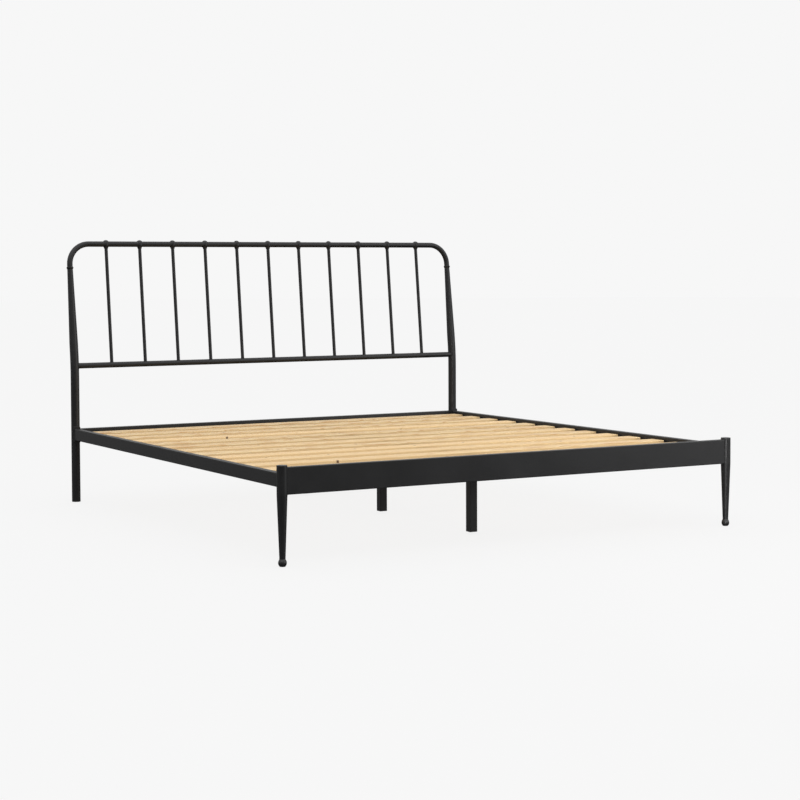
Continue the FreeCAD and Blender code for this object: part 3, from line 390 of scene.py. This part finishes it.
    # a knot has fine rings of its own and a dark rim of bark
    knotEdge = pine["knotRadius"] / pine["knotCell"]
    rim = addNode(tree, "ShaderNodeMapRange", inputs={
        "Value": toKnot, "From Min": 0.5 * knotEdge, "From Max": knotEdge, "To Min": 0.1, "To Max": 1})
    knotYears = addNode(tree, "ShaderNodeMath", {"operation": "PINGPONG"}, {0: toKnot, 1: 0.006})
    knotTone = addNode(tree, "ShaderNodeMath", {"operation": "MULTIPLY_ADD", "use_clamp": True}, {
        0: knotYears.outputs[0], 1: 60, 2: rim.outputs[0]})
    knotColour = addNode(tree, "ShaderNodeMix", {"data_type": "RGBA"}, {
        "Factor": knotTone.outputs[0], 6: hexColour(pine["knot"]), 7: hexColour(pine["knotRim"])})
    onKnot = addNode(tree, "ShaderNodeMapRange", inputs={
        "Value": toKnot, "From Min": 0.94 * knotEdge, "From Max": 1.04 * knotEdge,
        "To Min": 1, "To Max": 0})
    colour = addNode(tree, "ShaderNodeMix", {"data_type": "RGBA"}, {
        "Factor": onKnot.outputs[0], 6: wood.outputs[0], 7: knotColour.outputs[2]})
    springRough, autumnRough = pine["roughness"]
    roughness = addNode(tree, "ShaderNodeMapRange", inputs={
        "Value": season, "From Min": 0.2, "From Max": 0.9, "To Min": springRough, "To Max": autumnRough})
    relief = addNode(tree, "ShaderNodeMath", {"operation": "MULTIPLY_ADD"}, {
        0: fibre.outputs["Fac"], 1: 0.6, 2: season})
    bump = addNode(tree, "ShaderNodeBump", inputs={
        "Height": relief.outputs[0], "Distance": pine["ridgeDepth"], "Strength": 1})
    shader = addNode(tree, "ShaderNodeBsdfPrincipled", inputs={
        "Base Color": colour.outputs[2], "Roughness": roughness.outputs[0], "Normal": bump.outputs[0],
        "IOR": 1.45})
    addNode(tree, "ShaderNodeOutputMaterial", inputs={"Surface": shader.outputs[0]})
    return material


finishes = {
    "powder_coated_steel": makePowderCoat(),
    "black_nylon": makeNylon(),
    "black_zinc_steel": makePlatedSteel(blackZinc),
    "zinc_plated_steel": makePlatedSteel(brightZinc),
    "pine": makePine(),
}
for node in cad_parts.values():
    for slot in node.material_slots:
        slot.material = finishes[slot.material.name.split(".")[0]]
print("materials set")


# Weld beads, coated over with the tubes

weld = {
    "radius": 0.0018,
    "ripple": 0.0021,         # length of one ripple
    "rippleDepth": 0.10,
    "step": 0.0006,           # between points along the bead
    "endFade": 0.004,         # a bead tapers off at its ends
    "spindleShare": 0.75,     # how thick a spindle's bead is beside the others
    "stitch": 0.044,          # length of one bead on a ledge
}


def evenly(points, closed, step):
    # points along a seam at equal steps, each with its distance from the start
    corners = [Vector(p) for p in points] + ([Vector(points[0])] if closed else [])
    lengths = [(b - a).length for a, b in zip(corners, corners[1:])]
    count = max(4, round(sum(lengths) / step))
    places, passed, leg = [], 0.0, 0
    for number in range(count + (0 if closed else 1)):
        distance = sum(lengths) * number / count
        while leg < len(lengths) - 1 and distance > passed + lengths[leg]:
            passed += lengths[leg]
            leg += 1
        share = (distance - passed) / lengths[leg]
        places.append((corners[leg].lerp(corners[leg + 1], min(share, 1.0)), distance))
    return places, sum(lengths)


def layWelds(name, seams, thickness=1.0):
    clearSelection()
    bpy.ops.curve.primitive_bezier_curve_add()
    welds = bpy.context.object
    curve = welds.data
    curve.splines.clear()
    for points, closed in seams:
        places, length = evenly(points, closed, weld["step"])
        ripples = max(1, round(length / weld["ripple"]))
        spline = curve.splines.new("POLY")
        spline.points.add(len(places) - 1)
        spline.use_cyclic_u = closed
        for point, (place, distance) in zip(spline.points, places):
            wave = 1 - weld["rippleDepth"] * (0.5 + 0.5 * cos(tau * ripples * distance / length))
            toEnd = weld["endFade"] if closed else min(distance, length - distance)
            fade = sqrt(min(1.0, toEnd / weld["endFade"]))
            point.co = (*place, 1)
            point.radius = thickness * wave * max(fade, 0.2)
    curve.dimensions = "3D"
    curve.bevel_depth = weld["radius"]
    curve.bevel_resolution = 1
    curve.use_fill_caps = True
    bpy.ops.object.convert(target="MESH")
    bpy.ops.object.mode_set(mode="EDIT")
    bpy.ops.mesh.select_all(action="SELECT")
    bpy.ops.mesh.normals_make_consistent(inside=False)
    bpy.ops.object.mode_set(mode="OBJECT")
    bpy.ops.object.shade_smooth()
    placePiece(welds, name, finishes["powder_coated_steel"])
    print(name, "laid:", len(seams), "seams,", len(welds.data.polygons), "faces")


def roundedOutline(halfWidth, low, high, corner):
    # a rounded rectangle as (across, up) points
    points = []
    for number, (side, level) in enumerate(((1, low), (1, high), (-1, high), (-1, low))):
        centreAcross = side * (halfWidth - corner)
        centreUp = level + corner if level == low else level - corner
        for part in range(5):
            angle = pi / 2 * (number - 1 + part / 4)
            points.append((centreAcross + corner * cos(angle), centreUp + corner * sin(angle)))
    return points


def railSeam(side, legY, low, high):
    # where a rectangular rail is cut to fit round a leg
    seam = []
    for across, up in roundedOutline(bed["railHalfWidth"], low, high, bed["railCorner"]):
        reach = sqrt(bed["legRadius"] ** 2 - across ** 2)
        seam.append((side * (bed["legX"] - reach), legY + across, up))
    return seam, True


def lowerTubeSeam(side):
    seam = []
    bow = bed["kneeBend"] * (1 - cos(bed["rake"] / 2))   # the post is already bending here
    for part in range(40):
        angle = tau * part / 40
        across = bed["tubeRadius"] * sin(angle)
        reach = sqrt(bed["legRadius"] ** 2 - (across - bow) ** 2)
        seam.append((side * (bed["legX"] - reach), bed["headY"] + across,
                     bed["kneeZ"] + bed["tubeRadius"] * cos(angle)))
    return seam, True


def spindleSeam(middleX):
    seam, radius = [], bed["spindleRadius"]
    for part in range(28):
        angle = tau * part / 28
        across = radius * sin(angle)
        up = sqrt(bed["tubeRadius"] ** 2 - across ** 2)
        seam.append((middleX + radius * cos(angle),
                     bed["headY"] + across * cos(bed["rake"]) + up * sin(bed["rake"]),
                     bed["kneeZ"] - across * sin(bed["rake"]) + up * cos(bed["rake"])))
    return seam, True


def saddleSeam(side):
    # around the plate between a head post and its side rail
    low, high = bed["saddleLevels"]
    front = []
    for part in range(9):
        across = bed["saddleHalfWidth"] * (part / 4 - 1)
        reach = sqrt(bed["legRadius"] ** 2 - across ** 2)
        front.append((side * bed["legX"] + across, bed["headY"] - reach))
    lower = [(x, y, low) for x, y in front]
    upper = [(x, y, high) for x, y in reversed(front)]
    return lower + upper, True


spindleX = [sum(c.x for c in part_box(f"spindle_{n:02d}")) / 2 for n in range(1, 12)]
for rail, legY in (("foot_rail", bed["footY"]), ("head_rail", bed["headY"])):
    low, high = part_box(rail)
    layWelds(f"{rail}_welds", [railSeam(s, legY, low.z, high.z) for s in sides])
layWelds("lower_tube_welds", [lowerTubeSeam(s) for s in sides])
layWelds("spindle_welds", [spindleSeam(x) for x in spindleX], thickness=weld["spindleShare"])
layWelds("saddle_welds", [saddleSeam(s) for s in sides])

legSeams = []
for where in ("front", "middle", "rear"):
    low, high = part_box(f"centre_leg_{where}")
    middleY, plateZ = (low.y + high.y) / 2, high.z - bed["legPlate"]
    halfLeg = (high.x - low.x) / 2
    reach = halfLeg - bed["railCorner"]
    for s in sides:
        seamY = middleY + s * halfLeg
        legSeams.append(([(-reach, seamY, plateZ), (reach, seamY, plateZ)], False))
layWelds("centre_leg_welds", legSeams)

cradleSeams = []
for faceY in (bed["footY"] + bed["railHalfWidth"], bed["headY"] - bed["railHalfWidth"]):
    for s in sides:
        x = s * bed["cradleHalfWidth"]
        cradleSeams.append(([(x, faceY, z) for z in bed["cradleLevels"]], False))
layWelds("cradle_welds", cradleSeams)

ledgeSeams = []
for number in range(1, 13, 2):
    low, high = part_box(f"slat_{number:02d}")
    nextLow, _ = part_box(f"slat_{number + 1:02d}")
    gapY = (high.y + nextLow.y) / 2
    ends = (gapY - weld["stitch"] / 2, gapY + weld["stitch"] / 2)
    for s in sides:
        x = s * (bed["legX"] - bed["railHalfWidth"])
        ledgeSeams.append(([(x, y, low.z) for y in ends], False))
layWelds("ledge_welds", ledgeSeams)


# Screws and levellers

leveller = {
    "padRadius": 0.0109,
    "padHeight": 0.005,
    "flutes": 30,
    "fluteDepth": 0.0005,
    "chamfer": 0.0005,
    "threadRadius": 0.00398,
    "threadRoot": 0.0034,
    "threadPitch": 0.00125,
    "sunk": 0.001,            # the thread begins this far inside the pad
    "smoothAngle": radians(25),
}
woodScrew = {
    "headRadius": 0.004,
    "headHeight": 0.0024,
    "headEdge": 0.0011,
    "recess": (0.0043, 0.0009, 0.0013),   # length, width and depth of each slot of the cross
    "recessNarrowing": 0.55,  # size of a slot's bottom beside its top
    "threadRadius": 0.00195,
    "threadRoot": 0.0014,
    "threadPitch": 0.0018,
    "length": 0.0148,
    "point": 0.003,
    "sunk": 0.0005,           # the thread begins this far inside the head
    "overlap": 0.0002,        # and the point inside the thread
    "smoothAngle": radians(35),
}


def addThread(radius, root, pitch, low, high, steps):
    # one V of the thread, wound up round the stem
    clearSelection()
    bpy.ops.mesh.primitive_plane_add(size=1)
    thread = bpy.context.object
    bpy.ops.object.mode_set(mode="EDIT")
    selectCorners(thread, lambda co: co.x < 0 and co.y < 0)
    bpy.ops.mesh.delete(type="VERT")
    bpy.ops.object.mode_set(mode="OBJECT")
    bottom, top, crest = sorted(thread.data.vertices, key=lambda corner: corner.co.x + corner.co.y)
    bottom.co, crest.co, top.co = (root, 0, low), (radius, 0, low + pitch / 2), (root, 0, low + pitch)
    applyModifier(thread, "SCREW", {
        "axis": "Z", "screw_offset": pitch, "iterations": round((high - low) / pitch) - 1,
        "steps": steps, "render_steps": steps, "use_merge_vertices": True, "merge_threshold": 0.00001})
    bpy.ops.object.mode_set(mode="EDIT")
    bpy.ops.mesh.select_all(action="SELECT")
    bpy.ops.mesh.remove_doubles(threshold=0.00001)
    bpy.ops.mesh.select_all(action="SELECT")
    bpy.ops.mesh.fill_holes(sides=0)
    bpy.ops.mesh.select_all(action="SELECT")
    bpy.ops.mesh.normals_make_consistent(inside=False)
    bpy.ops.object.mode_set(mode="OBJECT")
    return thread


def joinPieces(main, *others):
    clearSelection()
    for piece in (main, *others):
        piece.select_set(True)
    bpy.context.view_layer.objects.active = main
    bpy.ops.object.join()
    return main


def copyPiece(piece, place):
    # a copy with its own mesh
    clearSelection()
    piece.select_set(True)
    bpy.context.view_layer.objects.active = piece
    bpy.ops.object.duplicate(linked=False)
    copied = bpy.context.object
    copied.location = place
    return copied


def modelLeveller(stemTop):
    # the pad's underside is at the origin
    clearSelection()
    bpy.ops.mesh.primitive_cylinder_add(
        vertices=3 * leveller["flutes"], radius=leveller["padRadius"], depth=leveller["padHeight"],
        location=(0, 0, leveller["padHeight"] / 2))
    pad = bpy.context.object
    bpy.ops.object.transform_apply(location=True)
    bpy.ops.object.mode_set(mode="EDIT")
    turn = tau / leveller["flutes"]
    selectCorners(pad, lambda co: abs((atan2(co.y, co.x) + turn / 6) % turn - turn / 6) < turn / 6)
    narrower = 1 - leveller["fluteDepth"] / leveller["padRadius"]
    bpy.ops.transform.resize(value=(narrower, narrower, 1))
    bpy.ops.object.mode_set(mode="OBJECT")
    applyModifier(pad, "BEVEL", {
        "width": leveller["chamfer"], "segments": 2,
        "limit_method": "ANGLE", "angle_limit": radians(80)})
    clearSelection()
    pad.select_set(True)
    bpy.ops.object.shade_smooth_by_angle(angle=leveller["smoothAngle"])
    stem = addThread(leveller["threadRadius"], leveller["threadRoot"], leveller["threadPitch"],
                     leveller["padHeight"] - leveller["sunk"], stemTop, 32)
    return joinPieces(pad, stem)


def modelWoodScrew():
    # pan head down, the plane that bears on the ledge at the origin
    headRadius, headHeight = woodScrew["headRadius"], woodScrew["headHeight"]
    clearSelection()
    bpy.ops.mesh.primitive_cylinder_add(
        vertices=32, radius=headRadius, depth=headHeight, location=(0, 0, -headHeight / 2))
    head = bpy.context.object
    bpy.ops.object.transform_apply(location=True)
    bpy.ops.object.mode_set(mode="EDIT")
    selectFaces(head, lambda centre, normal: normal.z < -0.9)
    bpy.ops.mesh.bevel(offset=woodScrew["headEdge"], segments=4, affect="EDGES")
    bpy.ops.object.mode_set(mode="OBJECT")
    length, width, depth = woodScrew["recess"]
    narrower = woodScrew["recessNarrowing"]
    for size in ((length, width, 2 * depth), (width, length, 2 * depth)):
        clearSelection()
        bpy.ops.mesh.primitive_cube_add(size=1, scale=size, location=(0, 0, -headHeight))
        slot = bpy.context.object
        bpy.ops.object.mode_set(mode="EDIT")
        selectFaces(slot, lambda centre, normal: normal.z > 0.9)
        bpy.ops.transform.resize(value=(narrower, narrower, 1))
        bpy.ops.object.mode_set(mode="OBJECT")
        clearSelection()
        head.select_set(True)
        applyModifier(head, "BOOLEAN", {"operation": "DIFFERENCE", "object": slot, "solver": "EXACT"})
        bpy.data.objects.remove(slot)
    head.select_set(True)
    bpy.ops.object.shade_smooth_by_angle(angle=woodScrew["smoothAngle"])
    threadTop = woodScrew["length"] - woodScrew["point"]
    shank = addThread(woodScrew["threadRadius"], woodScrew["threadRoot"], woodScrew["threadPitch"],
                      -woodScrew["sunk"], threadTop, 16)
    clearSelection()
    bpy.ops.mesh.primitive_cone_add(
        vertices=16, radius1=woodScrew["threadRoot"], radius2=0.0001, depth=woodScrew["point"],
        location=(0, 0, threadTop + woodScrew["point"] / 2 - woodScrew["overlap"]))
    point = bpy.context.object
    bpy.ops.object.mode_set(mode="EDIT")
    bpy.ops.mesh.select_all(action="SELECT")
    bpy.ops.mesh.subdivide(number_cuts=1)
    bpy.ops.object.mode_set(mode="OBJECT")
    return joinPieces(head, shank, point)


lowest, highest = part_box("leveller_front")
firstLeveller = modelLeveller(highest.z - lowest.z)
for where in ("front", "middle", "rear"):
    low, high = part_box(f"leveller_{where}")
    piece = copyPiece(firstLeveller, ((low.x + high.x) / 2, (low.y + high.y) / 2, low.z))
    placePiece(piece, f"screw_leveller_{where}", finishes["zinc_plated_steel"],
               body=f"leveller_{where}")
    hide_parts(f"leveller_{where}")
bpy.data.objects.remove(firstLeveller)
print("levellers made")

low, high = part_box("slat_screws")
firstScrew = modelWoodScrew()
screws = []
for number in range(1, 14):
    slatLow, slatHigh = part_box(f"slat_{number:02d}")
    for s in sides:
        screws.append(copyPiece(firstScrew, (
            s * (high.x - woodScrew["headRadius"]), (slatLow.y + slatHigh.y) / 2,
            low.z + woodScrew["headHeight"])))
bpy.data.objects.remove(firstScrew)
piece = joinPieces(*screws)
placePiece(piece, "slat_wood_screws", finishes["zinc_plated_steel"])
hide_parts("slat_screws")
print("slat screws made:", len(piece.data.polygons), "faces")


# Stage: pale floor, soft studio light and the camera

stage = {
    "pale": 0.93,             # brightness of the backdrop, which the floor comes close to
    "floorGlow": 0.84,        # the rest of the floor's brightness is lit, so it takes soft faint shadows
    "floorPaint": "#4a4a4a",
    "size": 60,
    "light": ((-0.15, 0.03), (0.0, 0.44), (1.0, 1.60)),   # brightness around the object, by height
    "darkSide": (-0.486, -0.874, 0.0),   # the dark side of the room, and how dark, wide and high it is
    "darkShare": 0.15,
    "darkEdge": (0.1, 0.9),
    "darkHeight": 0.35,
    "lens": 81.683,
    "sensor": 36,
    "cameraPlace": (-3.75285, -6.68145, 1.023545),
    "yaw": 29.064,
    "pitch": 2.429,
    "roll": -0.255,
    "shiftX": 0.0367,
    "shiftY": -0.0654,
}
softboxes = {
    "rightSoftbox": {
        "place": (5.2, -5.5, 1.9), "target": (0.4, 0, 0.5), "size": (2.0, 3.0), "power": 98,
        "spread": pi},
    "upperSoftbox": {
        "place": (-3.0, -4.5, 6.0), "target": (0, 0, 0.8), "size": (3.0, 2.0), "power": 45,
        "spread": pi},
    "legSoftbox": {
        "place": (-0.5, -3.7, 0.5), "target": (0.985, -1.066, 0.15), "size": (1.2, 0.8), "power": 3.2,
        "spread": radians(40)},
}


def makeFloor():
    clearSelection()
    bpy.ops.mesh.primitive_circle_add(vertices=64, radius=stage["size"], fill_type="NGON")
    floor = bpy.context.object
    floor.name = "studioFloor"
    material, tree = newMaterial("glowingFloorPaint")
    shader = addNode(tree, "ShaderNodeBsdfPrincipled", inputs={
        "Base Color": hexColour(stage["floorPaint"]), "Roughness": 0.9, "Specular IOR Level": 0,
        "Emission Color": (1, 1, 1, 1), "Emission Strength": stage["floorGlow"]})
    addNode(tree, "ShaderNodeOutputMaterial", inputs={"Surface": shader.outputs[0]})
    floor.data.materials.append(material)
    floor.visible_glossy = False


def makeBackdrop():
    clearSelection()
    bpy.ops.mesh.primitive_uv_sphere_add(segments=48, ring_count=24, radius=stage["size"])
    backdrop = bpy.context.object
    backdrop.name = "studioBackdrop"
    material, tree = newMaterial("glowingBackdrop")
    shader = addNode(tree, "ShaderNodeBsdfPrincipled", inputs={
        "Base Color": (0, 0, 0, 1), "Specular IOR Level": 0,
        "Emission Color": (1, 1, 1, 1), "Emission Strength": stage["pale"]})
    addNode(tree, "ShaderNodeOutputMaterial", inputs={"Surface": shader.outputs[0]})
    backdrop.data.materials.append(material)
    for sight in ("visible_diffuse", "visible_glossy", "visible_transmission", "visible_shadow"):
        setattr(backdrop, sight, False)


def makeWorld():
    world = bpy.data.worlds.new("studioLight")
    bpy.context.scene.world = world
    world.use_nodes = True
    tree = world.node_tree
    tree.nodes.clear()
    direction = addNode(tree, "ShaderNodeTexCoord").outputs["Generated"]
    height = addNode(tree, "ShaderNodeSeparateXYZ", inputs={0: direction}).outputs["Z"]
    (lowest, dark), (horizon, dim), (zenith, bright) = stage["light"]
    below = addNode(tree, "ShaderNodeMapRange", inputs={
        "Value": height, "From Min": lowest, "From Max": horizon, "To Min": dark, "To Max": dim})
    above = addNode(tree, "ShaderNodeMapRange", inputs={
        "Value": height, "From Min": horizon, "From Max": zenith, "To Min": 0, "To Max": bright - dim})
    strength = addNode(tree, "ShaderNodeMath", {"operation": "ADD"}, {
        0: below.outputs[0], 1: above.outputs[0]})
    # the room's dark side, low down
    facing = addNode(tree, "ShaderNodeVectorMath", {"operation": "DOT_PRODUCT"}, {
        0: direction, 1: stage["darkSide"]})
    edgeStart, edgeEnd = stage["darkEdge"]
    behind = addNode(tree, "ShaderNodeMapRange", {"interpolation_type": "SMOOTHSTEP"}, {
        "Value": facing.outputs["Value"], "From Min": edgeStart, "From Max": edgeEnd})
    lowDown = addNode(tree, "ShaderNodeMapRange", inputs={
        "Value": height, "From Min": 0.0, "From Max": stage["darkHeight"], "To Min": 1.0, "To Max": 0.0})
    darkness = addNode(tree, "ShaderNodeMath", {"operation": "MULTIPLY"}, {
        0: behind.outputs[0], 1: lowDown.outputs[0]})
    share = addNode(tree, "ShaderNodeMapRange", inputs={
        "Value": darkness.outputs[0], "To Min": 1.0, "To Max": stage["darkShare"]})
    strength = addNode(tree, "ShaderNodeMath", {"operation": "MULTIPLY"}, {
        0: strength.outputs[0], 1: share.outputs[0]})
    light = addNode(tree, "ShaderNodeBackground", inputs={
        "Color": (1, 1, 1, 1), "Strength": strength.outputs[0]})
    addNode(tree, "ShaderNodeOutputWorld", inputs={"Surface": light.outputs[0]})


def addSoftbox(name, place, target, size, power, spread):
    clearSelection()
    bpy.ops.object.light_add(type="AREA", location=place)
    box = bpy.context.object
    box.name = name
    box.data.shape = "RECTANGLE"
    box.data.size, box.data.size_y = size
    box.data.energy = power
    box.data.spread = spread
    box.visible_camera = False
    box.rotation_mode = "QUATERNION"
    box.rotation_quaternion = (Vector(target) - Vector(place)).to_track_quat("-Z", "Y")


def makeCamera():
    yaw, pitch, roll = (radians(stage[k]) for k in ("yaw", "pitch", "roll"))
    forward = Vector((sin(yaw) * cos(pitch), cos(yaw) * cos(pitch), -sin(pitch)))
    right = Vector((cos(yaw), -sin(yaw), 0))
    up = right.cross(forward)
    right, up = cos(roll) * right + sin(roll) * up, cos(roll) * up - sin(roll) * right
    data = bpy.data.cameras.new("studioCamera")
    data.lens, data.sensor_width = stage["lens"], stage["sensor"]
    data.shift_x, data.shift_y = stage["shiftX"], stage["shiftY"]
    camera = bpy.data.objects.new("studioCamera", data)
    camera.matrix_world = Matrix.Translation(stage["cameraPlace"]) @ Matrix(
        (right, up, -forward)).transposed().to_4x4()
    bpy.context.scene.collection.objects.link(camera)
    bpy.context.scene.camera = camera


makeFloor()
makeBackdrop()
makeWorld()
for name, settings in softboxes.items():
    addSoftbox(name, **settings)
makeCamera()
bpy.context.scene.view_settings.view_transform = "Standard"
print("stage set")
